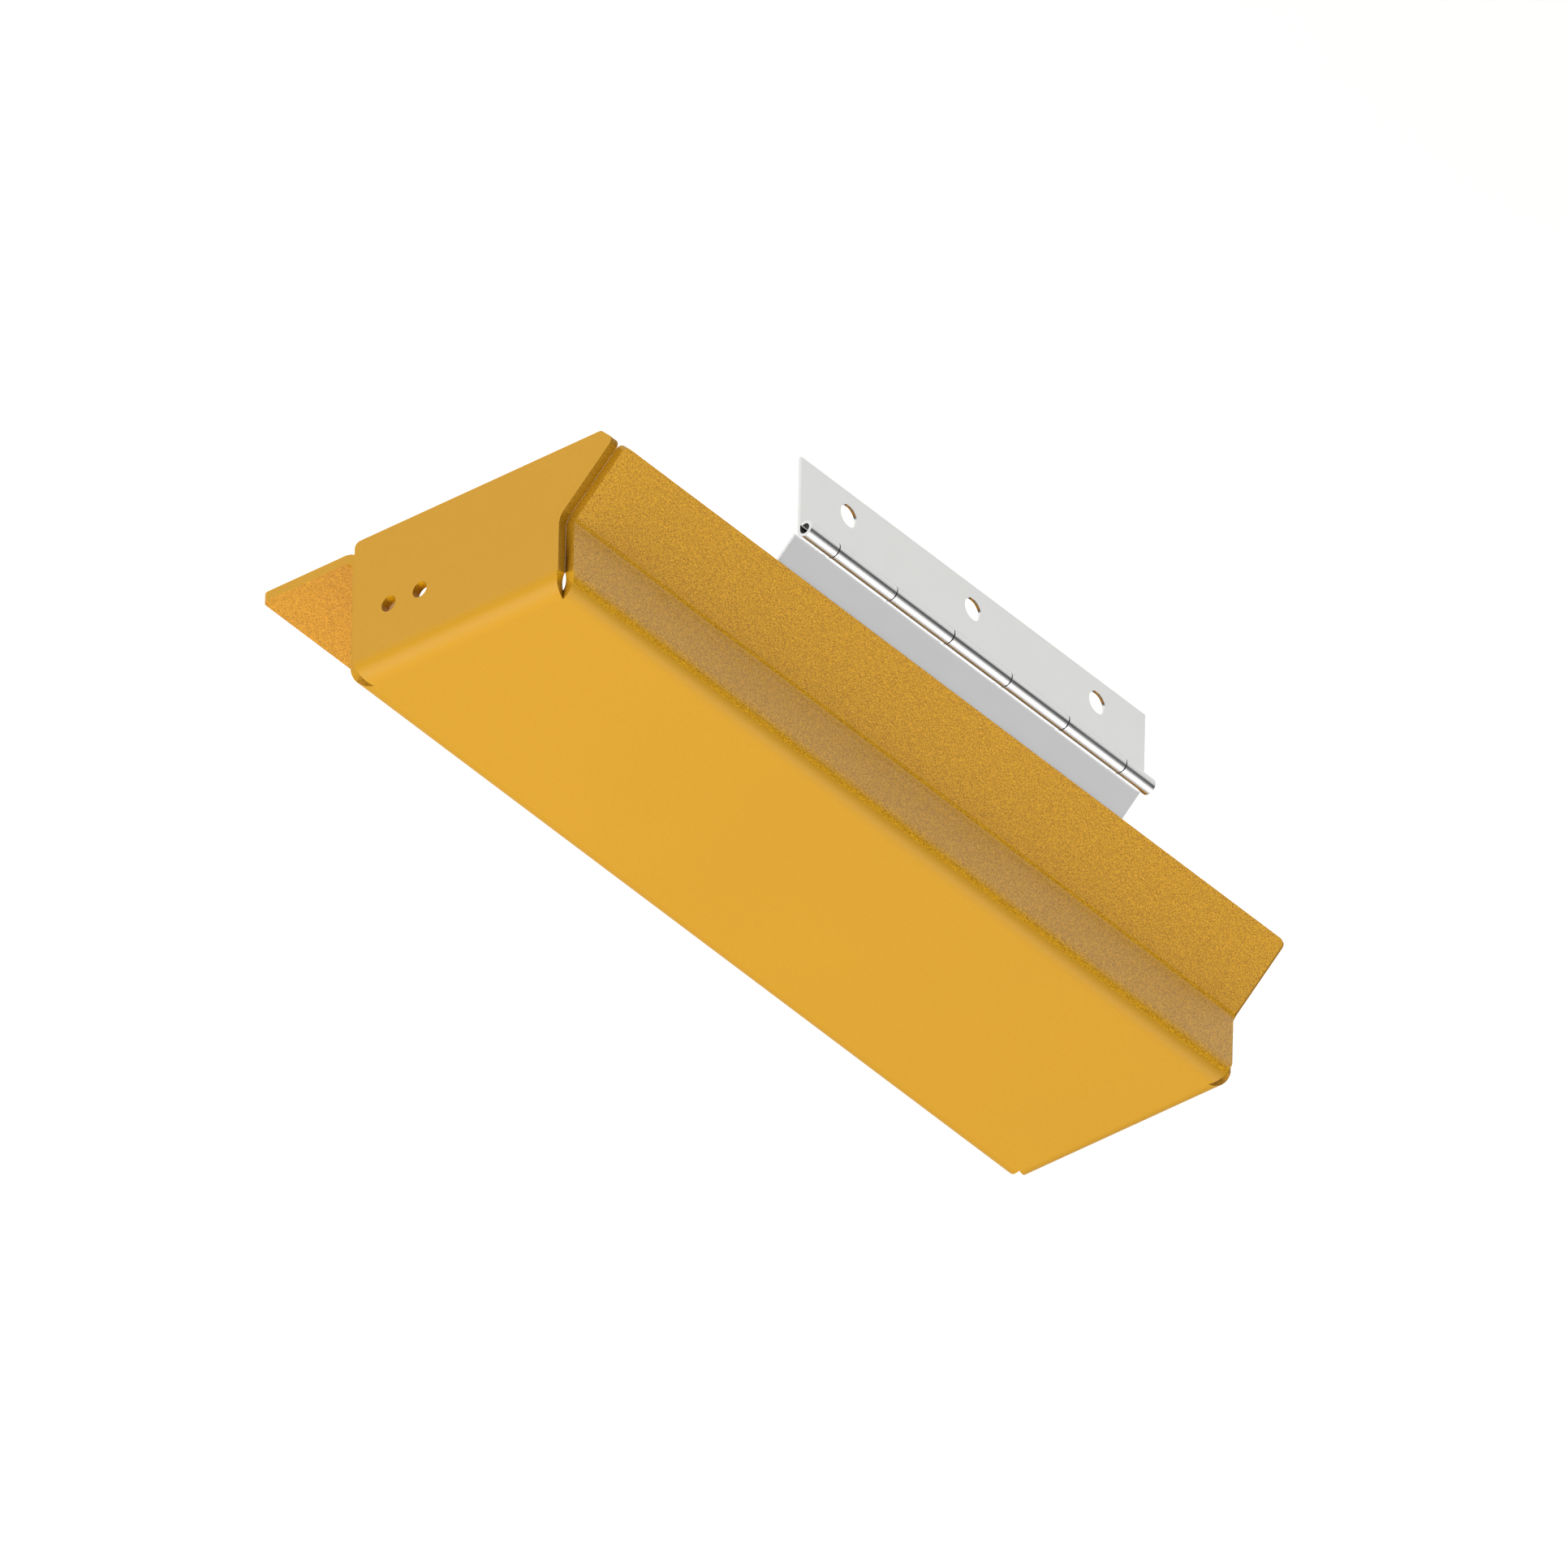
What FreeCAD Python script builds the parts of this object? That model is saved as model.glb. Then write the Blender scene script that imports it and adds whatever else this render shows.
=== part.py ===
import FreeCAD, Part
import math
import os
import re
import Sketcher

# Hinged sheet-metal cover: one folded cover pan that swings on a continuous hinge.
# X runs along the cover, +Y points to the hinge side, +Z is up with the cover closed.
# The origin is the middle screw hole of the fixed hinge leaf, on the leaf's mounting face.

SIZES = {
    "cover_length": 298.0,       # over the two end panels
    "cover_width": 79.0,         # over the front and rear walls
    "cover_depth": 46.7,         # top face down to the rim
    "sheet_thick": 3.04,         # 11 gauge steel
    "bend_inside": 2.96,         # inside radius of every bend
    "lip_width": 32.2,           # lip beyond the front wall
    "flare_angle": 45.0,         # turn from the rear wall to the flare
    "corner_round": 2.0,         # free corners of lip, flare and end panels
    "corner_gap": 0.01,          # between an end panel and the wall beside it
    "relief_margin": 0.3,        # how far a relief cutter passes the sheet's faces
    "panel_hole": 5.0,           # diameter of the two holes in the near end panel
    "panel_hole_inset": 15.6,    # front wall's face to the first hole
    "panel_hole_spacing": 11.0,
    "panel_hole_drop": 20.4,     # top face down to the holes
    "hinge_length": 152.4,
    "hinge_pitches": 6.0,        # knuckles along the barrel, its two half ones counted as one
    "hinge_reach": 25.1,         # rear wall's face out to the hinge axis
    "barrel_radius": 2.6,
    "leaf_thick": 1.0,
    "leaf_reach": 25.4,          # hinge axis to a leaf's free edge
    "leaf_overlap": 13.8,        # how far the flare lies on the moving leaf
    "curl_seam": 0.12,           # gap between a curl's tip and its leaf
    "knuckle_clear": 0.2,        # each side of a knuckle
    "notch_clear": 0.02,         # leaf's notched edge past the level of the barrel's crown
    "pin_clear": 0.05,
    "pin_recess": 3.0,           # barrel's end in to the pin's end
    "leaf_hole_clear": 0.65,     # a leaf's hole is this much wider than its stud or screw
    "leaf_hole_drop": 17.3,      # hinge axis to the row of holes
    "leaf_hole_spacing": 55.0,
    "stud_diameter": 6.35,       # 1/4-20 weld stud
    "stud_proud": 1.0,           # stud beyond its nut
    "stud_chamfer": 0.6,
    "washer_thick": 0.6,
    "washer_outside": 12.0,
    "washer_bore_clear": 0.15,
    "washer_notch_width": 1.2,
    "washer_notch_depth": 1.3,
    "nut_flats": 11.1,           # 7/16 in across flats
    "nut_thick": 3.97,           # jam nut, 5/32 in
    "nut_bore_clear": 0.05,
    "nut_chamfer": 0.45,
    "nut_chamfer_angle": 30.0,
}

# Lengths that follow from the sizes. Y and Z are measured from the hinge axis.
DERIVED = {
    "bend_outside": "bend_inside + sheet_thick",
    "curl_inside": "barrel_radius - leaf_thick",
    "rim": "barrel_radius",
    "top": "rim + cover_depth",
    "bend_line": "top - bend_outside",
    "rear_face": "-hinge_reach",
    "front_face": "rear_face - cover_width",
    "middle": "rear_face - cover_width / 2",
    "lip_edge": "front_face - lip_width",
    "end_face": "cover_length / 2",
    "wall_end": "end_face - sheet_thick - corner_gap",
    "rear_inside": "rear_face - sheet_thick",
    "front_inside": "front_face + sheet_thick",
    "flare_end": "leaf_reach - leaf_overlap",
    "flare_apex": "(sheet_thick - curl_inside - rear_face * cos(flare_angle)) / sin(flare_angle)",
    "flare_bend": "flare_apex + bend_inside * tan(flare_angle / 2)",
    "skew": "curl_inside + corner_gap",
    "panel_tip_y": "-flare_end * sin(flare_angle) - skew * cos(flare_angle)",
    "panel_tip_z": "flare_end * cos(flare_angle) - skew * sin(flare_angle)",
    "panel_rear": "rear_inside - corner_gap",
    "panel_front": "front_inside + corner_gap",
    "relief_run": "bend_inside - corner_gap",
    "knuckle_pitch": "hinge_length / hinge_pitches",
    "curl_tip": "curl_inside - curl_seam",
    "leaf_hole": "stud_diameter + leaf_hole_clear",
    "washer_bore": "stud_diameter / 2 + washer_bore_clear",
}

FIT = 1e-4               # points closer than this are the same point
FULL_TURN = 360
TEETH = 8
SCREW_SIDES = (-1, 0, 1)
DOWNWARD, UPWARD = -1, 1
FIXED_NOTCHES = (-2, 0, 2)           # in knuckle pitches from the barrel's middle
MOVING_NOTCHES = (-3, -1, 1, 3)
LEFT = FreeCAD.Vector(-1, 0, 0)
REARWARD = FreeCAD.Vector(0, 1, 0)
UP = FreeCAD.Vector(0, 0, 1)


def formula(text):
    """Spreadsheet expression for a text that names sizes and derived lengths."""
    def expand(match):
        word = match.group(0)
        if word in DERIVED:
            return "(" + formula(DERIVED[word]) + ")"
        if word.endswith("_angle"):
            return "sizes." + word + " * 1 deg"
        return "sizes." + word if word in SIZES else word
    return re.sub(r"[a-z_]+", expand, text)


def value(text):
    """Number that a formula gives now."""
    result = sheet.evalExpression(formula(text))
    return getattr(result, "Value", result)


def bind(thing, **formulas):
    """Tie properties of an object to formulas; a double underscore stands for a dot."""
    for name, text in formulas.items():
        thing.setExpression(name.replace("__", "."), formula(text))


def place(thing, x="0", y="0", z="0", turn=None):
    """Put an object at x, y, z from the hinge axis, turned about X by a formula in degrees."""
    thing.Placement.Rotation = FreeCAD.Rotation(FreeCAD.Vector(1, 0, 0), 1)
    bind(thing, Placement__Base__x=x)
    bind(thing, Placement__Base__y="barrel_radius + " + y)
    bind(thing, Placement__Base__z="leaf_hole_drop + " + z)
    bind(thing, Placement__Rotation__Angle=turn or "0")


def new_sketch(body, role, offset="0"):
    """Sketch on one of the body's origin planes, moved along its normal by a formula."""
    sketch = body.newObject("Sketcher::SketchObject", body.Name + "_" + role[:2].lower())
    plane = next(item for item in body.Origin.OriginFeatures if item.Role == role)
    sketch.AttachmentSupport = [(plane, "")]
    sketch.MapMode = "FlatFace"
    bind(sketch, AttachmentOffset__Base__z=offset)
    return sketch


def pin_point(sketch, index, end, x, y):
    """Dimension one point of a sketch from the sketch's origin."""
    for kind, text in (("DistanceX", x), ("DistanceY", y)):
        number = sketch.addConstraint(Sketcher.Constraint(kind, -1, 1, index, end, value(text)))
        sketch.setExpression("Constraints[%d]" % number, formula(text))


def draw_outline(sketch, stations):
    """Closed outline through (x, y) stations; a station (x, y, cx, cy, way) starts an arc about
    (cx, cy) that runs counterclockwise when way is 1 and clockwise when it is -1."""
    points = [FreeCAD.Vector(value(row[0]), value(row[1]), 0) for row in stations]
    starts = []
    for row, here, there in zip(stations, points, points[1:] + points[:1]):
        if len(row) == 2:
            index = sketch.addGeometry(Part.LineSegment(here, there))
            starts.append((index, 1, 2))
            continue
        centre = FreeCAD.Vector(value(row[2]), value(row[3]), 0)
        first, last = (here, there) if row[4] > 0 else (there, here)
        circle = Part.Circle(centre, FreeCAD.Vector(0, 0, 1), (here - centre).Length)
        angles = [math.atan2(tip.y - centre.y, tip.x - centre.x) for tip in (first, last)]
        if angles[1] <= angles[0]:
            angles[1] += 2 * math.pi
        index = sketch.addGeometry(Part.ArcOfCircle(circle, *angles))
        starts.append((index, 1, 2) if row[4] > 0 else (index, 2, 1))
    for (index, _, end), (following, start, _) in zip(starts, starts[1:] + starts[:1]):
        sketch.addConstraint(Sketcher.Constraint("Coincident", index, end, following, start))
    for row, (index, start, _) in zip(stations, starts):
        pin_point(sketch, index, start, row[0], row[1])
        if len(row) > 2:
            reach = "sqrt((%s - (%s)) ^ 2 + (%s - (%s)) ^ 2)" % (row[0], row[2], row[1], row[3])
            number = sketch.addConstraint(Sketcher.Constraint("Radius", index, value(reach)))
            sketch.setExpression("Constraints[%d]" % number, formula(reach))


def draw_circle(sketch, x, y, diameter):
    """Circle at (x, y) with its diameter dimensioned."""
    centre = FreeCAD.Vector(value(x), value(y), 0)
    index = sketch.addGeometry(Part.Circle(centre, FreeCAD.Vector(0, 0, 1), value(diameter) / 2))
    pin_point(sketch, index, 3, x, y)
    number = sketch.addConstraint(Sketcher.Constraint("Diameter", index, value(diameter)))
    sketch.setExpression("Constraints[%d]" % number, formula(diameter))


def draw_box(sketch, x_low, x_high, y_low, y_high):
    """Rectangle between two X and two Y formulas."""
    draw_outline(sketch, [(x_low, y_low), (x_high, y_low), (x_high, y_high), (x_low, y_high)])


def pad(body, sketch, length, centred=False):
    """Pad a sketch by a formula, to one side or equally to both."""
    feature = body.newObject("PartDesign::Pad", body.Name + "_pad")
    feature.Profile = sketch
    feature.SideType = "Symmetric" if centred else "One side"
    bind(feature, Length=length)
    body.Tip = feature
    return feature


def pocket(body, sketch):
    """Cut a sketch through everything on both sides of its plane."""
    before = body.Shape.Volume
    feature = body.newObject("PartDesign::Pocket", body.Name + "_cut")
    feature.Profile = sketch
    feature.SideType = "Symmetric"
    feature.Type = "ThroughAll"
    body.Tip = feature
    doc.recompute()
    if body.Shape.Volume >= before:
        raise RuntimeError(body.Name + ": a pocket cut nothing")
    return feature


def dress(body, kind, name, size, chosen):
    """Fillet or Chamfer on the edges of the body's tip that the chosen test accepts."""
    doc.recompute()
    base = body.Tip
    picked = [i + 1 for i, edge in enumerate(base.Shape.Edges) if chosen(edge)]
    feature = body.newObject("PartDesign::" + kind, body.Name + "_" + name)
    feature.Base = (base, ["Edge%d" % number for number in picked])
    bind(feature, **{"Radius" if kind == "Fillet" else "Size": size})
    body.Tip = feature
    return feature


def new_body(name, label=None):
    """Empty PartDesign body."""
    body = doc.addObject("PartDesign::Body", name)
    body.Label = label or name
    return body


def straight_between(edge, first, second):
    """True for a straight edge that joins two given points, in either order."""
    if len(edge.Vertexes) != 2:
        return False
    ends = [vertex.Point for vertex in edge.Vertexes]
    ways = (zip(ends, (first, second)), zip(ends, (second, first)))
    return any(all(a.distanceToPoint(b) < FIT for a, b in way) for way in ways)


# ---- cover pan: lip, front wall, top, rear wall and flare are one folded strip ----

def strip_section():
    """Outline of the folded strip, from the lip's top edge over the top to the flare and back."""
    lip_turn = ("front_face - bend_inside", "rim + bend_outside")
    front_turn = ("front_face + bend_outside", "bend_line")
    rear_turn = ("rear_face - bend_outside", "bend_line")
    flare_turn = ("rear_face + bend_inside", "flare_bend")
    flare_out = "(sheet_thick - curl_inside)"
    return [
        ("lip_edge", "rim + sheet_thick"),
        ("front_face - bend_inside", "rim + sheet_thick", *lip_turn, 1),
        ("front_face", "rim + bend_outside"),
        ("front_face", "bend_line", *front_turn, -1),
        ("front_face + bend_outside", "top"),
        ("rear_face - bend_outside", "top", *rear_turn, -1),
        ("rear_face", "bend_line"),
        ("rear_face", "flare_bend", *flare_turn, 1),
        ("rear_face + bend_inside - bend_inside * cos(flare_angle)",
         "flare_bend - bend_inside * sin(flare_angle)"),
        ("-flare_end * sin(flare_angle) + " + flare_out + " * cos(flare_angle)",
         "flare_end * cos(flare_angle) + " + flare_out + " * sin(flare_angle)"),
        ("-flare_end * sin(flare_angle) - curl_inside * cos(flare_angle)",
         "flare_end * cos(flare_angle) - curl_inside * sin(flare_angle)"),
        ("rear_face + bend_inside - bend_outside * cos(flare_angle)",
         "flare_bend - bend_outside * sin(flare_angle)", *flare_turn, -1),
        ("rear_inside", "flare_bend"),
        ("rear_inside", "bend_line", *rear_turn, 1),
        ("rear_face - bend_outside", "top - sheet_thick"),
        ("front_face + bend_outside", "top - sheet_thick", *front_turn, 1),
        ("front_inside", "bend_line"),
        ("front_inside", "rim + bend_outside", *lip_turn, -1),
        ("front_face - bend_inside", "rim"),
        ("lip_edge", "rim"),
    ]


def folded_strip():
    """Long strip with its four bends; the free corners of lip and flare are rounded, and the top
    stops at the end bends."""
    body = new_body("folded_strip")
    sketch = new_sketch(body, "YZ_Plane")
    section = strip_section()
    draw_outline(sketch, section)
    pad(body, sketch, "2 * wall_end", centred=True)
    lip_edge = (section[0], section[-1])
    flare_edge = (section[9], section[10])

    def free_corner(edge):
        for pair in (lip_edge, flare_edge):
            for side in (-1, 1):
                tips = [FreeCAD.Vector(side * value("wall_end"), value(y), value(z)) for y, z in pair]
                if straight_between(edge, *tips):
                    return True
        return False

    dress(body, "Fillet", "corners", "corner_round", free_corner)
    doc.recompute()
    ends = new_sketch(body, "XY_Plane")
    for left, right in (("-end_face", "bend_outside - end_face"),
                        ("end_face - bend_outside", "end_face")):
        draw_box(ends, left, right, "front_face + bend_outside", "rear_face - bend_outside")
    pocket(body, ends)
    place(body)
    return body


def end_bend():
    """Bend between the top and the far end panel, a quarter ring across the width."""
    body = new_body("end_bend")
    sketch = new_sketch(body, "XZ_Plane")
    centre = ("end_face - bend_outside", "bend_line")
    draw_outline(sketch, [
        ("end_face", "bend_line", *centre, 1),
        ("end_face - bend_outside", "top"),
        ("end_face - bend_outside", "top - sheet_thick", *centre, -1),
        ("end_face - sheet_thick", "bend_line"),
    ])
    pad(body, sketch, "panel_rear - panel_front", centred=True)
    place(body, y="middle")
    return body


def end_panel(name, inner_face, holes):
    """Flat end panel: it follows the walls and the flare, and its free corners are rounded."""
    body = new_body(name)
    sketch = new_sketch(body, "YZ_Plane", inner_face)
    run_out = "(panel_tip_z - rim) / tan(flare_angle)"
    flare_turn = ("rear_face + bend_inside", "flare_bend")
    turn_reach = "(bend_outside + corner_gap)"
    outline = [
        ("panel_front", "rim"),
        ("panel_tip_y - " + run_out, "rim"),
        ("panel_tip_y", "panel_tip_z"),
        (flare_turn[0] + " - %s * cos(flare_angle)" % turn_reach,
         flare_turn[1] + " - %s * sin(flare_angle)" % turn_reach, *flare_turn, -1),
        ("panel_rear", "flare_bend"),
        ("panel_rear", "bend_line"),
        ("panel_front", "bend_line"),
    ]
    draw_outline(sketch, outline)
    for inset in holes:
        draw_circle(sketch, "front_face + " + inset, "top - panel_hole_drop", "panel_hole")
    pad(body, sketch, "sheet_thick")
    free = [FreeCAD.Vector(0, value(y), value(z)) for y, z in outline[:3]]

    def free_corner(edge):
        if len(edge.Vertexes) != 2 or abs(edge.tangentAt(edge.FirstParameter).x) < 1 - FIT:
            return False
        point = edge.Vertexes[0].Point
        point.x = 0
        return any(point.distanceToPoint(corner) < FIT for corner in free)

    dress(body, "Fillet", "corners", "corner_round", free_corner)
    place(body)
    return body


def bend_relief():
    """Cutter for a long bend's end: its edge leaves the bend line at the corner and runs at an even
    rate along the wall as the bend turns, so a radial plane is swept along a quarter of a helix."""
    helix = doc.addObject("Part::Helix", "relief_helix")
    bind(helix, Pitch="4 * relief_run", Height="relief_run", Radius="bend_outside")
    profile = doc.addObject("Part::Plane", "relief_profile")
    bind(profile, Length="bend_outside", Width="sheet_thick + 2 * relief_margin")
    corner = {"x": "bend_outside - end_face", "y": "rear_face - bend_outside"}
    place(helix, z="bend_line", **corner)
    place(profile, z="top - sheet_thick - relief_margin", **corner)
    for item, axes in ((helix, (UP, REARWARD, LEFT)), (profile, (LEFT, UP, REARWARD))):
        item.setExpression("Placement.Rotation.Angle", None)
        item.Placement.Rotation = FreeCAD.Rotation(*axes, "XYZ")
    sweep = doc.addObject("Part::Sweep", "relief_cutter")
    sweep.Sections = [profile]
    sweep.Spine = (helix, ["Edge1"])
    sweep.Solid = True
    sweep.Frenet = True
    return sweep


def mirrored(source, name, normal, **base):
    """Mirror image of an object in a plane through the base point."""
    image = doc.addObject("Part::Mirroring", name)
    image.Source = source
    image.Normal = FreeCAD.Vector(*normal)
    bind(image, **{"Base__" + axis: text for axis, text in base.items()})
    return image


def cut_away(name, base, tools):
    """Base minus every tool."""
    union = doc.addObject("Part::MultiFuse", name + "_tools")
    union.Shapes = tools
    result = doc.addObject("Part::Cut", name)
    result.Base = base
    result.Tool = union
    return result


def cover_pan():
    """The whole folded sheet: strip, two end bends and two end panels, with relieved corners."""
    middle = "barrel_radius + middle"
    rear_near = bend_relief()
    rear_far = mirrored(rear_near, "relief_rear_far", (1, 0, 0))
    front_near = mirrored(rear_near, "relief_front_near", (0, 1, 0), y=middle)
    front_far = mirrored(rear_far, "relief_front_far", (0, 1, 0), y=middle)
    end_rear_near = mirrored(rear_near, "relief_end_rear", (1, 1, 0),
                             x="-end_face", y="barrel_radius + rear_face")
    end_front_near = mirrored(end_rear_near, "relief_end_front", (0, 1, 0), y=middle)
    strip = cut_away("relieved_strip", folded_strip(), [rear_near, rear_far, front_near, front_far])
    near_source = mirrored(end_bend(), "end_bend_near", (1, 0, 0))
    near_bend = cut_away("relieved_bend", near_source, [end_rear_near, end_front_near])
    far_bend = mirrored(near_bend, "relieved_bend_far", (1, 0, 0))
    holes = ("panel_hole_inset", "panel_hole_inset + panel_hole_spacing")
    near_panel = end_panel("near_panel", "-end_face", holes)
    far_panel = end_panel("far_panel", "end_face - sheet_thick", ())
    pan = doc.addObject("Part::MultiFuse", "cover_pan")
    pan.Shapes = [strip, near_bend, far_bend, near_panel, far_panel]
    pan.Refine = True
    return pan


# ---- continuous hinge ----

def leaf_section(way):
    """Outline of a leaf curled round the pin; way is -1 for a leaf that hangs down, 1 for up."""
    sign = "%d * " % way
    tip_drop = "sqrt(barrel_radius ^ 2 - (curl_tip) ^ 2)"
    scale = "curl_inside / barrel_radius"
    return [
        ("-barrel_radius", sign + "leaf_reach"),
        ("-barrel_radius", "0", "0", "0", way),
        ("-curl_tip", sign + tip_drop),
        ("-curl_tip * " + scale, sign + tip_drop + " * " + scale, "0", "0", -way),
        ("-curl_inside", "0"),
        ("-curl_inside", sign + "leaf_reach"),
    ]


def hinge_leaf(name, way, notch_centres, turn):
    """Leaf stamped from one strip: curled, notched for the other leaf's knuckles, three holes."""
    body = new_body(name)
    sketch = new_sketch(body, "YZ_Plane")
    draw_outline(sketch, leaf_section(way))
    pad(body, sketch, "hinge_length", centred=True)
    doc.recompute()
    notches = new_sketch(body, "XZ_Plane")
    foot = "%d * (barrel_radius + notch_clear)" % way
    crown = "%d * 2 * barrel_radius" % -way
    half = "(knuckle_pitch / 2 + knuckle_clear)"
    for centre in notch_centres:
        middle = "%d * knuckle_pitch" % centre
        draw_box(notches, middle + " - " + half, middle + " + " + half, foot, crown)
    pocket(body, notches)
    holes = new_sketch(body, "XZ_Plane")
    for side in SCREW_SIDES:
        draw_circle(holes, "%d * leaf_hole_spacing" % side, "%d * leaf_hole_drop" % way, "leaf_hole")
    pocket(body, holes)
    place(body, turn=turn)
    return body


def hinge_pin():
    """Plain round pin, a little shorter than the barrel."""
    body = new_body("hinge_pin")
    sketch = new_sketch(body, "YZ_Plane")
    draw_circle(sketch, "0", "0", "2 * (curl_inside - pin_clear)")
    pad(body, sketch, "hinge_length - 2 * pin_recess", centred=True)
    place(body)
    return body


# ---- studs, lock washers and jam nuts that hold the moving leaf to the flare ----

def on_flare(body, side, height="0"):
    """Stand a body on the flare's inner face at one of the leaf's holes, its Z into the hood."""
    lift = "(curl_inside + " + height + ")"
    place(body, "%d * leaf_hole_spacing" % side,
          "(-leaf_hole_drop * sin(flare_angle) - " + lift + " * cos(flare_angle))",
          "leaf_hole_drop * cos(flare_angle) - " + lift + " * sin(flare_angle)",
          "90 deg + flare_angle")


def weld_stud(label, side):
    """Stud welded to the flare, chamfered at its free end."""
    body = new_body(label)
    sketch = new_sketch(body, "XY_Plane")
    draw_circle(sketch, "0", "0", "stud_diameter")
    length = "leaf_thick + washer_thick + nut_thick + stud_proud"
    pad(body, sketch, length)
    end = value(length)
    dress(body, "Chamfer", "end", "stud_chamfer",
          lambda edge: all(abs(vertex.Z - end) < FIT for vertex in edge.Vertexes))
    on_flare(body, side)
    return body


def lock_washer(label, side):
    """Internal-tooth lock washer: a ring whose bore is notched into eight teeth."""
    body = new_body(label)
    sketch = new_sketch(body, "XY_Plane")
    draw_circle(sketch, "0", "0", "washer_outside")
    draw_circle(sketch, "0", "0", "2 * washer_bore")
    pad(body, sketch, "washer_thick")
    doc.recompute()
    notch = new_sketch(body, "XY_Plane")
    draw_box(notch, "washer_bore / 2", "washer_bore + washer_notch_depth",
             "-washer_notch_width / 2", "washer_notch_width / 2")
    cut = pocket(body, notch)
    teeth = body.newObject("PartDesign::PolarPattern", label + "_teeth")
    teeth.Originals = [cut]
    teeth.Axis = (notch, ["N_Axis"])
    teeth.Angle = FULL_TURN
    teeth.Occurrences = TEETH
    body.Tip = teeth
    on_flare(body, side, "leaf_thick")
    return body


def jam_nut(label, side):
    """Thin hexagon nut with chamfered corners, two flats facing along the leaf's width."""
    body = new_body(label)
    sketch = new_sketch(body, "XY_Plane")
    half = "nut_flats / 2"
    tip = "nut_flats / sqrt(3)"
    draw_outline(sketch, [(tip, "0"), (tip + " / 2", half), ("-" + tip + " / 2", half),
                          ("-" + tip, "0"), ("-" + tip + " / 2", "-" + half),
                          (tip + " / 2", "-" + half)])
    draw_circle(sketch, "0", "0", "stud_diameter + 2 * nut_bore_clear")
    pad(body, sketch, "nut_thick")
    doc.recompute()
    before = body.Shape.Volume
    corners = new_sketch(body, "XZ_Plane")
    beyond = tip + " + nut_chamfer"
    rise = "((" + beyond + " - " + half + ") * tan(nut_chamfer_angle))"
    draw_outline(corners, [(half, "0"), (beyond, "0"), (beyond, rise)])
    draw_outline(corners, [(half, "nut_thick"), (beyond, "nut_thick - " + rise),
                           (beyond, "nut_thick")])
    groove = body.newObject("PartDesign::Groove", label + "_corners")
    groove.Profile = corners
    groove.ReferenceAxis = (corners, ["V_Axis"])
    groove.Angle = FULL_TURN
    body.Tip = groove
    doc.recompute()
    if body.Shape.Volume >= before:
        raise RuntimeError(label + ": the corner chamfer cut nothing")
    on_flare(body, side, "leaf_thick + washer_thick")
    return body


doc = FreeCAD.newDocument("hinged_cover")
sheet = doc.addObject("Spreadsheet::Sheet", "sizes")
for row, (alias, number) in enumerate(SIZES.items(), start=1):
    sheet.set("A%d" % row, alias)
    sheet.set("B%d" % row, str(number))
    sheet.setAlias("B%d" % row, alias)
doc.recompute()

nodes = [cover_pan()]
nodes.append(hinge_leaf("hinge_leaf_fixed", DOWNWARD, FIXED_NOTCHES, None))
nodes.append(hinge_leaf("hinge_leaf_moving", UPWARD, MOVING_NOTCHES, "flare_angle"))
nodes.append(hinge_pin())
for place_number, side in enumerate(SCREW_SIDES, start=1):
    for piece in (weld_stud, lock_washer, jam_nut):
        nodes.append(piece("%s_%d" % (piece.__name__, place_number), side))
doc.recompute()

for item in doc.Objects:
    if "Invalid" in item.State or "Error" in item.State:
        raise RuntimeError(item.Name + " failed: " + str(item.State))
for node in nodes:
    if node.Shape.isNull() or not node.Shape.isValid():
        raise RuntimeError(node.Label + " has no valid shape")

os.makedirs("parts", exist_ok=True)
for node in nodes:
    node.Shape.exportStep("parts/%s.step" % node.Label)
    box = node.Shape.BoundBox
    print("%-18s solids %d volume %9.1f  X %7.2f %7.2f  Y %7.2f %7.2f  Z %7.2f %7.2f" % (
        node.Label, len(node.Shape.Solids), node.Shape.Volume,
        box.XMin, box.XMax, box.YMin, box.YMax, box.ZMin, box.ZMax))
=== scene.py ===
"""Looks of the hinged sheet-metal cover: powder-coated pan, stainless hinge, studs and jam nuts."""

import math

import bmesh
import bpy
import numpy as np
from mathutils import Matrix, Vector


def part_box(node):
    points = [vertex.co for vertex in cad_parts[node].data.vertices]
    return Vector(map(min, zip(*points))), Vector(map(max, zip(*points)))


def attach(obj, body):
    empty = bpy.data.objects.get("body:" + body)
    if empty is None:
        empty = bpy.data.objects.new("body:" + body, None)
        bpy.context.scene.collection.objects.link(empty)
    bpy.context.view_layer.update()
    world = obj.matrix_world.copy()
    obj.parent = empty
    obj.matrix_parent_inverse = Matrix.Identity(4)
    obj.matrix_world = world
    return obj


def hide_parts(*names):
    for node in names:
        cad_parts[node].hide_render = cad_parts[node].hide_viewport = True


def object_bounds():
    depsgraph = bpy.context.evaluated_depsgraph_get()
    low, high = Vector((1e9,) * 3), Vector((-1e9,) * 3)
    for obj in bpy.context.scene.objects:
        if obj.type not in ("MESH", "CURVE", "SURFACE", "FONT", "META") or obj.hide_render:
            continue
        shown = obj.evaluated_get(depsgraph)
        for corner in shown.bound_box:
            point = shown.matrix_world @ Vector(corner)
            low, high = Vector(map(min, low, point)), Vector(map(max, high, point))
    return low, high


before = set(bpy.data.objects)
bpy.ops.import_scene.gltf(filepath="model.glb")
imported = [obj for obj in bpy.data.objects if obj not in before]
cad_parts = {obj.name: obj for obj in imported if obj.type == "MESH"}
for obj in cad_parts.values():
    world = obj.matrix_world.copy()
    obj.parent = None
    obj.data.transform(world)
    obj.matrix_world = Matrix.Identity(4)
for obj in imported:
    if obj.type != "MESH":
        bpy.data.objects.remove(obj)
CAD_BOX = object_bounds()

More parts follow.
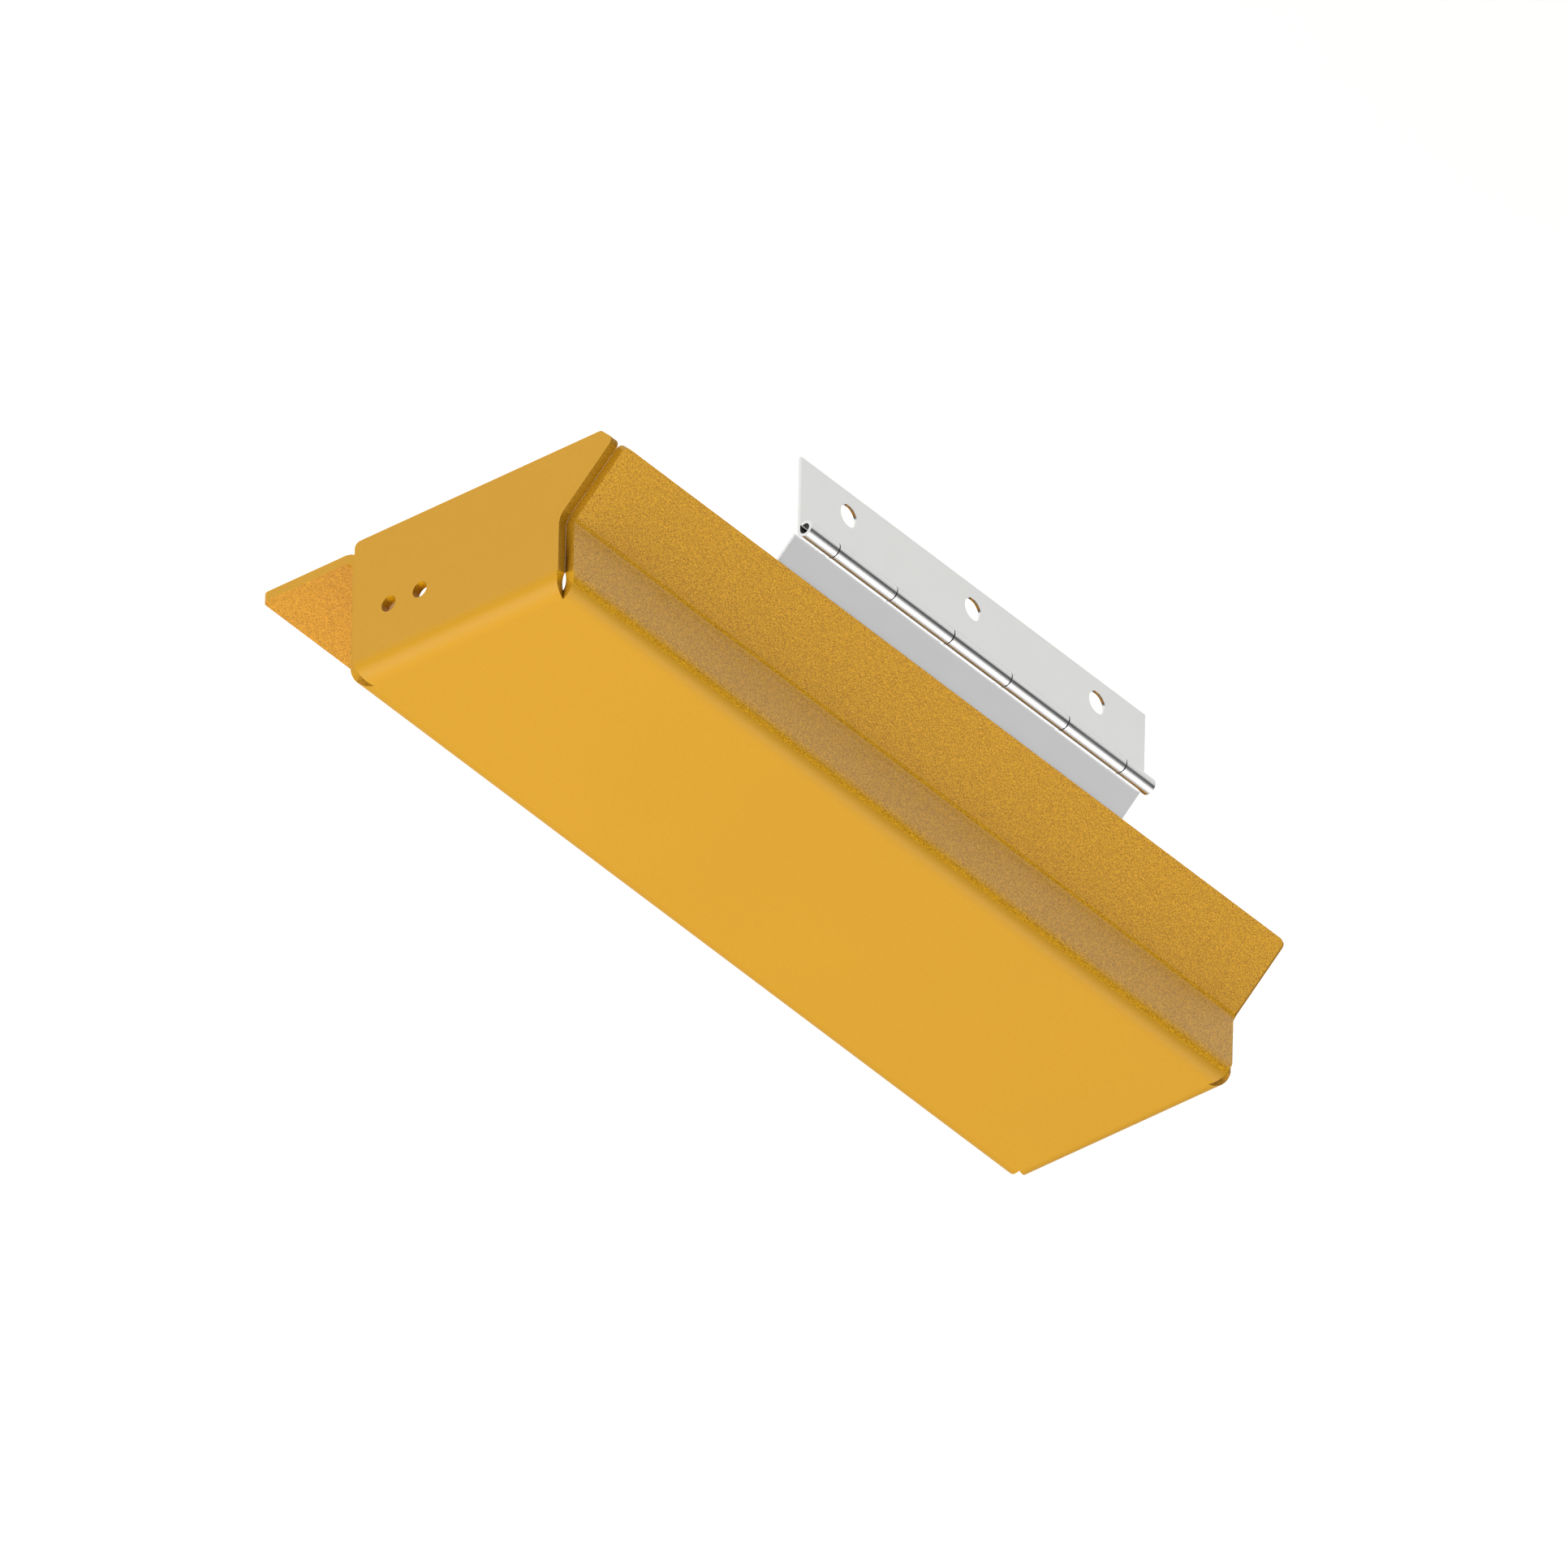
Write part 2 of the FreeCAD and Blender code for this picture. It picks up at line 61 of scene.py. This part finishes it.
MM = 0.001
SHEET = 3.04 * MM                # thickness of the cover's steel
BEND_REACH = 7.0 * MM            # a bend ends this far in from the cover's outside
LIP_DROP = 30.0 * MM             # in front, what faces up further than this below the top is lip
HOOD_MIDDLE_Y = -62.0 * MM       # halfway between the cover's front and rear walls
FLARE_TURN = math.radians(45)    # from the rear wall to the flare that the studs stand on
ROUNDED_TURN = math.radians(35)  # an edge whose faces turn by more than this gets rounded
STUD_LENGTH = 6.57 * MM          # leaf 1, washer 0.6 and nut 3.97 mm, and 1 mm beyond the nut
STUD_NODES = ("weld_stud_1", "weld_stud_2", "weld_stud_3")
WASHER_NODES = ("lock_washer_1", "lock_washer_2", "lock_washer_3")
NUT_NODES = ("jam_nut_1", "jam_nut_2", "jam_nut_3")


# ---------------------------------------------------------------- materials

def linear(hex_colour):
    """Linear RGBA of an sRGB hex colour: each channel is undone by the sRGB curve."""
    channels = [int(hex_colour[i:i + 2], 16) / 255 for i in (0, 2, 4)]
    return [c / 12.92 if c <= 0.04045 else ((c + 0.055) / 1.055) ** 2.4 for c in channels] + [1.0]


def add(tree, kind, sockets=None, **settings):
    """One node with its settings; a socket given another node's output is linked to it."""
    node = tree.nodes.new("ShaderNode" + kind)
    for name, setting in settings.items():
        setattr(node, name, setting)
    for name, given in (sockets or {}).items():
        if isinstance(given, bpy.types.NodeSocket):
            tree.links.new(given, node.inputs[name])
        else:
            node.inputs[name].default_value = given
    return node


def per_metre(size_mm):
    """Noise scale whose pattern repeats about every size_mm."""
    return 1 / (size_mm * MM)


def new_material(name):
    """Empty node material with its output; returns the material, its tree and the output."""
    material = bpy.data.materials.new(name)
    material.use_nodes = True
    tree = material.node_tree
    tree.nodes.clear()
    return material, tree, add(tree, "OutputMaterial")


def powder_coat(name, dark, light, grain_depth_mm, roughness, gloss, flow_out):
    """Polyester powder coat, sprayed and baked on steel. Where it is thick it flows out into one even
    satin colour over a slow orange-peel wave; where it is thin the powder's grain stays, as specks
    of a darker and a lighter shade that also stand up a little. Gloss is the mirror in the coat
    itself, and flow_out is how much of a clear, smoother film has risen over the grain."""
    # the real grain is about 0.2 mm; it is drawn at 0.4 mm so that it shows
    peel_mm, grain_mm, drift_mm, peel_depth_mm = 2.6, 0.4, 60.0, 0.004
    material, tree, output = new_material(name)
    place = add(tree, "TexCoord").outputs["Object"]
    peel = add(tree, "TexNoise", {"Vector": place, "Scale": per_metre(peel_mm), "Detail": 2.0})
    grain = add(tree, "TexNoise", {"Vector": place, "Scale": per_metre(grain_mm), "Detail": 2.0,
                                   "Roughness": 0.7})
    drift = add(tree, "TexNoise", {"Vector": place, "Scale": per_metre(drift_mm), "Detail": 1.0})
    wave = add(tree, "Bump", {"Height": peel.outputs["Fac"], "Distance": peel_depth_mm * MM,
                              "Strength": 1.0})
    bumps = add(tree, "Bump", {"Height": grain.outputs["Fac"], "Distance": grain_depth_mm * MM,
                               "Strength": 1.0, "Normal": wave.outputs["Normal"]})
    specks = add(tree, "MapRange", {"Value": grain.outputs["Fac"], "From Min": 0.35,
                                    "From Max": 0.65})
    speckled = add(tree, "MixRGB", {"Fac": specks.outputs["Result"], "Color1": linear(dark),
                                    "Color2": linear(light)})
    shade = add(tree, "MapRange", {"Value": drift.outputs["Fac"], "From Min": 0.3, "From Max": 0.7,
                                   "To Min": 0.99, "To Max": 1.01})
    colour = add(tree, "HueSaturation", {"Color": speckled.outputs["Color"],
                                         "Value": shade.outputs["Result"]})
    shader = add(tree, "BsdfPrincipled", {
        "Base Color": colour.outputs["Color"], "Roughness": roughness, "IOR": 1.5,
        "Specular IOR Level": gloss, "Normal": bumps.outputs["Normal"],
        "Coat Weight": flow_out, "Coat Roughness": 0.10, "Coat IOR": 1.5,
        "Coat Normal": wave.outputs["Normal"]})
    tree.links.new(shader.outputs["BSDF"], output.inputs["Surface"])
    return material


def rolled_stainless(name, hex_colour, roughness, streak_depth_mm):
    """Bright cold-rolled 304 stainless: near-mirror sheet with faint rolling lines along its length
    and soft patches that are a little duller, which break up the reflections."""
    line_mm, patch_mm, stretch = 0.5, 14.0, 0.02
    material, tree, output = new_material(name)
    place = add(tree, "TexCoord").outputs["Object"]
    along = add(tree, "Mapping", {"Vector": place, "Scale": (stretch, 1.0, 1.0)})
    lines = add(tree, "TexNoise", {"Vector": along.outputs["Vector"],
                                   "Scale": per_metre(line_mm), "Detail": 3.0})
    patches = add(tree, "TexNoise", {"Vector": place, "Scale": per_metre(patch_mm), "Detail": 2.0})
    bump = add(tree, "Bump", {"Height": lines.outputs["Fac"], "Distance": streak_depth_mm * MM,
                              "Strength": 1.0})
    dull = add(tree, "MapRange", {"Value": patches.outputs["Fac"], "From Min": 0.3, "From Max": 0.7,
                                  "To Min": roughness * 0.85, "To Max": roughness * 1.15})
    shader = add(tree, "BsdfPrincipled", {
        "Base Color": linear(hex_colour), "Metallic": 1.0, "Roughness": dull.outputs["Result"],
        "Normal": bump.outputs["Normal"]})
    tree.links.new(shader.outputs["BSDF"], output.inputs["Surface"])
    return material


def zinc_plate():
    """Steel with clear zinc plating: a pale bluish metal, slightly mottled, duller than stainless."""
    mottle_mm, mottle_depth_mm = 1.5, 0.01
    material, tree, output = new_material("zinc_plated_steel")
    place = add(tree, "TexCoord").outputs["Object"]
    mottle = add(tree, "TexNoise", {"Vector": place, "Scale": per_metre(mottle_mm), "Detail": 4.0})
    tint = add(tree, "MixRGB", {"Fac": mottle.outputs["Fac"], "Color1": linear("B9BDC4"),
                                "Color2": linear("D6D8D6")})
    bump = add(tree, "Bump", {"Height": mottle.outputs["Fac"], "Distance": mottle_depth_mm * MM,
                              "Strength": 1.0})
    shader = add(tree, "BsdfPrincipled", {
        "Base Color": tint.outputs["Color"], "Metallic": 1.0, "Roughness": 0.32,
        "Normal": bump.outputs["Normal"]})
    tree.links.new(shader.outputs["BSDF"], output.inputs["Surface"])
    return material


def studio_floor_paint():
    """Matt white studio paint with a barely visible roller texture."""
    roller_mm, roller_depth_mm = 4.0, 0.02
    material, tree, output = new_material("studio_floor_paint")
    place = add(tree, "TexCoord").outputs["Object"]
    roller = add(tree, "TexNoise", {"Vector": place, "Scale": per_metre(roller_mm), "Detail": 2.0})
    bump = add(tree, "Bump", {"Height": roller.outputs["Fac"], "Distance": roller_depth_mm * MM,
                              "Strength": 0.5})
    shader = add(tree, "BsdfPrincipled", {"Base Color": linear("F4F4F2"), "Roughness": 0.9,
                                          "Normal": bump.outputs["Normal"]})
    tree.links.new(shader.outputs["BSDF"], output.inputs["Surface"])
    return material


# ---------------------------------------------------------------- pieces made from the frame's nodes

def softened(node_name, piece_name, edge_mm, materials, stays_sharp=None):
    """Copy of a node with its triangles merged and its sharp edges rounded to edge_mm, but for the
    edges that the stays_sharp test names from their midpoints and the sum of their faces' normals.
    Two unit normals at an angle t add up to a vector whose squared length is 2 + 2 cos t."""
    join_distance, flat_turn = 0.001 * MM, math.radians(0.5)
    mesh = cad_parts[node_name].data.copy()
    mesh.name = piece_name
    mesh.materials.clear()
    for material in materials:
        mesh.materials.append(material)
    work = bmesh.new()
    work.from_mesh(mesh)
    bmesh.ops.remove_doubles(work, verts=work.verts, dist=join_distance)
    bmesh.ops.dissolve_limit(work, angle_limit=flat_turn, verts=work.verts, edges=work.edges)
    work.to_mesh(mesh)
    work.free()
    mesh.polygons.foreach_set("use_smooth", np.ones(len(mesh.polygons), dtype=bool))
    mesh.polygons.foreach_set("material_index", np.zeros(len(mesh.polygons), dtype=np.int32))
    middles, normals = edge_middles_and_normals(mesh)
    rounded = (normals ** 2).sum(axis=1) < 2 + 2 * math.cos(ROUNDED_TURN)
    sharp = rounded & stays_sharp(middles, normals) if stays_sharp else np.zeros_like(rounded)
    weight = mesh.attributes.new("bevel_weight_edge", "FLOAT", "EDGE")
    weight.data.foreach_set("value", (rounded & ~sharp).astype(np.float32))
    mesh.attributes.new("sharp_edge", "BOOLEAN", "EDGE").data.foreach_set("value", sharp)
    piece = bpy.data.objects.new(piece_name, mesh)
    bpy.context.scene.collection.objects.link(piece)
    bevel = piece.modifiers.new("rounded_edges", "BEVEL")
    bevel.width = edge_mm * MM
    bevel.segments = 2
    bevel.limit_method = "WEIGHT"
    bevel.use_clamp_overlap = True
    weighted = piece.modifiers.new("flat_faces_stay_flat", "WEIGHTED_NORMAL")
    weighted.keep_sharp = True
    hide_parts(node_name)
    return piece


def array_of(items, attribute, width):
    """Attribute of a mesh's items as an array of so many columns."""
    numbers = np.empty(len(items) * width)
    items.foreach_get(attribute, numbers)
    return numbers.reshape(-1, width)


def edge_middles_and_normals(mesh):
    """Midpoint of every edge, and the sum of the unit normals of the faces on its two sides."""
    points = array_of(mesh.vertices, "co", 3)
    ends = array_of(mesh.edges, "vertices", 2).astype(int)
    face_normals = array_of(mesh.polygons, "normal", 3)
    sides = array_of(mesh.polygons, "loop_total", 1).astype(int).ravel()
    loop_edges = array_of(mesh.loops, "edge_index", 1).astype(int).ravel()
    normals = np.zeros((len(ends), 3))
    np.add.at(normals, loop_edges, np.repeat(face_normals, sides, axis=0))
    return points[ends].mean(axis=1), normals


def seam_edges(middles, normals):
    """Edges that close a corner seam, from inside the hood: a wall's end edge that faces the hood,
    and the end panel's edge that faces it. Rounding them would open the seam."""
    slack, lean = 0.06 * MM, 0.3
    end_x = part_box("cover_pan")[1][0]
    from_end = end_x - np.abs(middles[:, 0])
    at_seam = np.abs(from_end - SHEET) < slack
    outward_x = normals[:, 0] * np.sign(middles[:, 0])
    outward_y = normals[:, 1] * np.sign(middles[:, 1] - HOOD_MIDDLE_Y)
    wall_end = (outward_x > lean) & (outward_y < -lean)
    panel_side = (outward_x < -lean) & (outward_y > lean)
    return at_seam & (wall_end | panel_side)


def coats_and_painted_light_by_face(piece):
    """Material of each face of the cover, in the order of its slots: an even coat on the top, the two
    ends and the bends to them; a grainy coat on the walls, the flare and the inside; a darker coat of
    painted shade on the seams' cut faces, the sheet's cut edges at the ends, the walls' end faces on
    the hinge side and the relief cuts, which lie in the inside corners' shade; and on the lip a
    grainy coat with a warmer, slightly darker tint of painted bounce light from the front wall. The
    words for a lean, from level to squarely, are what a component of a face's unit normal is compared
    with."""
    even_coat, grainy_coat, seam_painted_shade, lip_painted_bounce_coat = range(4)
    level, slight, slanted, mostly, rearward, squarely = 0.02, 0.2, 0.3, 0.7, 0.75, 0.97
    slack, outer_skin = 0.1 * MM, 0.01 * MM
    high = np.array(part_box("cover_pan")[1])
    mesh = piece.data
    centres = array_of(mesh.polygons, "center", 3)
    normals = array_of(mesh.polygons, "normal", 3)
    from_end = high[0] - np.abs(centres[:, 0])
    outward_x = normals[:, 0] * np.sign(centres[:, 0])
    near_top = centres[:, 2] > high[2] - BEND_REACH
    behind_middle = centres[:, 1] > HOOD_MIDDLE_Y
    even = near_top & (normals[:, 2] > -level)
    even |= (from_end < BEND_REACH) & (outward_x > level)
    even &= normals[:, 1] <= rearward
    sheet_edge = (from_end < SHEET + slack) & (np.abs(outward_x) < level)
    sheet_edge &= (from_end > outer_skin) & (np.abs(normals[:, 1]) > slanted)
    wall_end = (np.abs(from_end - SHEET) < slack) & (outward_x > mostly) & behind_middle
    relief_cut = near_top & (np.abs(normals) < squarely).all(axis=1)
    relief_cut &= (np.abs(normals[:, :2]) > slight).all(axis=1)
    lip = ~behind_middle & (centres[:, 2] < high[2] - LIP_DROP) & (normals[:, 2] > mostly)
    kind = np.where(even, even_coat, grainy_coat)
    # lip coat: its warmer, slightly darker tint is painted bounce light from the front wall
    kind[lip] = lip_painted_bounce_coat
    # painted shade: the seams' cut faces take the darker coat that stands for the inside corners'
    # shade
    kind[sheet_edge | wall_end | relief_cut] = seam_painted_shade
    mesh.polygons.foreach_set("material_index", kind.astype(np.int32))
    mesh.update()


# ---------------------------------------------------------------- threaded studs

def mesh_piece(name, points, face_arrays, material):
    """Object at the origin from an array of points and arrays of faces, smooth shaded."""
    mesh = bpy.data.meshes.new(name)
    mesh.from_pydata(points.tolist(), [], sum((faces.tolist() for faces in face_arrays), []))
    mesh.polygons.foreach_set("use_smooth", [True] * len(mesh.polygons))
    mesh.materials.append(material)
    mesh.update()
    piece = bpy.data.objects.new(name, mesh)
    bpy.context.scene.collection.objects.link(piece)
    return piece


def threaded_stud(node_name, axis, length, material):
    """1/4-20 stud about its node's middle: a tube surface of angle and height whose radius is the
    outside radius less the thread depth times a triangle wave of height over pitch minus turns,
    the wave's crests and roots cut flat, brought down to a plain chamfer at the free end; both
    ends close on their centres. Across the stud run X and the cross product of its axis with X."""
    outside, depth, pitch, chamfer = 3.175 * MM, 0.72 * MM, 1.27 * MM, 0.6 * MM
    flank, flat, chamfer_slope = 1.25, 0.125, 1.2
    around, along = 48, 120
    turn = np.linspace(0, 2 * math.pi, around, endpoint=False)
    grid_turn, grid_height = np.meshgrid(turn, np.linspace(0, length, along))
    phase = (grid_height / pitch - grid_turn / (2 * math.pi)) % 1
    groove = np.clip(flank * (1 - np.abs(2 * phase - 1)) - flat, 0, 1)
    end_limit = outside - chamfer_slope * np.clip(grid_height - (length - chamfer), 0, None)
    radius = np.minimum(outside - depth * groove, end_limit)[..., None]
    side = np.array([1.0, 0.0, 0.0])
    across = side * np.cos(grid_turn)[..., None] + np.cross(axis, side) * np.sin(grid_turn)[..., None]
    foot = np.mean(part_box(node_name), axis=0) - axis * length / 2
    tube = foot + across * radius + axis * grid_height[..., None]
    points = np.vstack([tube.reshape(-1, 3), [foot], [foot + axis * length]])
    index = np.arange(around * along).reshape(along, around)
    ahead = np.roll(index, -1, axis=1)
    sides = np.stack([index[:-1], ahead[:-1], ahead[1:], index[1:]], axis=-1).reshape(-1, 4)
    base, tip = (np.full(around, around * along + end) for end in (0, 1))
    caps = np.vstack([np.stack([ahead[0], index[0], base], axis=-1),
                      np.stack([index[-1], ahead[-1], tip], axis=-1)])
    stud = mesh_piece(node_name + "_thread", points, [sides, caps], material)
    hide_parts(node_name)
    return stud


# ---------------------------------------------------------------- build

yellow = powder_coat("yellow_powder_coat", "BD8B1B", "C28E1F", 0.001, 0.42, 0.20, 0.0)
yellow_grainy = powder_coat("yellow_powder_coat_grainy", "A06C00", "EAAE18", 0.010, 0.36, 0.20, 0.45)
# lip coat: its grain is texture; its warmer, slightly darker tint is painted bounce light from the
# front wall
yellow_lip_painted_bounce = powder_coat("yellow_powder_coat_lip_painted_bounce", "9C6800", "D8991E", 0.010, 0.36, 0.20, 0.25)
# seam coat: both speck shades are darker than the even coat, as painted shade of the seams' inside
# corners
yellow_seam_painted_shade = powder_coat("yellow_powder_coat_painted_seam_shade", "926600", "C08A1C", 0.010, 0.50, 0.20, 0.0)
leaf_steel = rolled_stainless("rolled_stainless", "D0D0D0", 0.22, 0.0015)
pin_steel = rolled_stainless("drawn_stainless_pin", "8E8E8C", 0.35, 0.003)
zinc = zinc_plate()

cover = softened("cover_pan", "cover_sheet", 0.25, [yellow, yellow_grainy, yellow_seam_painted_shade, yellow_lip_painted_bounce],
                 seam_edges)
coats_and_painted_light_by_face(cover)
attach(cover, "cover")

for node_name, body in (("hinge_leaf_fixed", "hinge_mount"), ("hinge_leaf_moving", "cover")):
    leaf = softened(node_name, node_name + "_sheet", 0.1, [leaf_steel])
    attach(leaf, body)

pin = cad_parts["hinge_pin"]
pin.data.materials.clear()
pin.data.materials.append(pin_steel)

for node_name in WASHER_NODES + NUT_NODES:
    piece = softened(node_name, node_name + "_plated", 0.08, [zinc])
    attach(piece, "cover")

into_hood = np.array([0.0, -math.sin(FLARE_TURN), -math.cos(FLARE_TURN)])
for node_name in STUD_NODES:
    stud = threaded_stud(node_name, into_hood, STUD_LENGTH, leaf_steel)
    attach(stud, "cover")


# ---------------------------------------------------------------- studio

def area_light(name, place, target, size, watts):
    """Square soft white light at a place, turned towards a target."""
    data = bpy.data.lights.new(name, "AREA")
    data.shape = "SQUARE"
    data.size = size
    data.energy = watts
    lamp = bpy.data.objects.new(name, data)
    lamp.location = place
    lamp.rotation_euler = (Vector(target) - Vector(place)).to_track_quat("-Z", "Y").to_euler()
    bpy.context.scene.collection.objects.link(lamp)


def studio_sky():
    """World light: a dark wall round the horizon, which the hinge's barrel mirrors as a band, then a
    bright ceiling, and pale below. A level is a direction's height with its brightness."""
    levels = ((-1.0, 0.75), (-0.15, 0.75), (-0.08, 0.13), (0.33, 0.15), (0.52, 0.95), (1.0, 1.0))
    world = bpy.data.worlds.new("studio_sky")
    bpy.context.scene.world = world
    world.use_nodes = True
    tree = world.node_tree
    tree.nodes.clear()
    direction = add(tree, "TexCoord").outputs["Generated"]
    height = add(tree, "SeparateXYZ", {"Vector": direction}).outputs["Z"]
    along = add(tree, "MapRange", {"Value": height, "From Min": -1.0, "From Max": 1.0})
    ramp = add(tree, "ValToRGB", {"Fac": along.outputs["Result"]})
    stops = ramp.color_ramp.elements
    for position, (at, level) in enumerate(levels):
        stop = stops[position] if position < 2 else stops.new(1.0)
        stop.position = (at + 1) / 2
        stop.color = (level, level, level, 1.0)
    background = add(tree, "Background", {"Color": ramp.outputs["Color"], "Strength": 1.0})
    output = add(tree, "OutputWorld")
    tree.links.new(background.outputs["Background"], output.inputs["Surface"])


def floor_disc():
    """Floor as a fan of points: radius times cosine and sine of the turn, at one height."""
    radius, drop, steps = 3.0, 0.30, 96
    turn = np.linspace(0, 2 * math.pi, steps, endpoint=False)
    low = CAD_BOX[0][2] - drop
    rim = np.stack([radius * np.cos(turn), radius * np.sin(turn), np.full(steps, low)], axis=-1)
    points = np.vstack([rim, [[0, 0, low]]])
    index = np.arange(steps)
    faces = np.stack([index, np.roll(index, -1), np.full(steps, steps)], axis=-1)
    floor = mesh_piece("studio_floor", points, [faces], studio_floor_paint())


def camera():
    """Camera above the hinge side, turned upside down, aimed close to the middle of the object's box,
    with no perspective. Azimuth is counted from the front, elevation from the horizon."""
    azimuth, elevation, roll = (math.radians(angle) for angle in (230.65, 36.14, 181.2))
    width, aside, above, distance = 433.7 * MM, -0.84 * MM, -1.40 * MM, 0.9
    back = Vector((math.sin(azimuth) * math.cos(elevation),
                   -math.cos(azimuth) * math.cos(elevation), math.sin(elevation)))
    turn = back.to_track_quat("Z", "Y").to_matrix() @ Matrix.Rotation(roll, 3, "Z")
    middle = (CAD_BOX[0] + CAD_BOX[1]) / 2
    data = bpy.data.cameras.new("camera")
    data.type = "ORTHO"
    data.ortho_scale = width
    viewer = bpy.data.objects.new("camera", data)
    viewer.matrix_world = Matrix.Translation(
        middle + turn @ Vector((aside, above, distance))) @ turn.to_4x4()
    bpy.context.scene.collection.objects.link(viewer)
    bpy.context.scene.camera = viewer


studio_sky()
area_light("key_softbox", place=(-1.06, -0.62, 1.22), target=(0, -0.06, 0.03), size=1.5, watts=24.0)
area_light("hinge_softbox", place=(0.94, 0.29, 1.16), target=(0, 0, 0.02), size=0.75, watts=4.4)
floor_disc()
camera()
bpy.context.scene.view_settings.view_transform = "Standard"
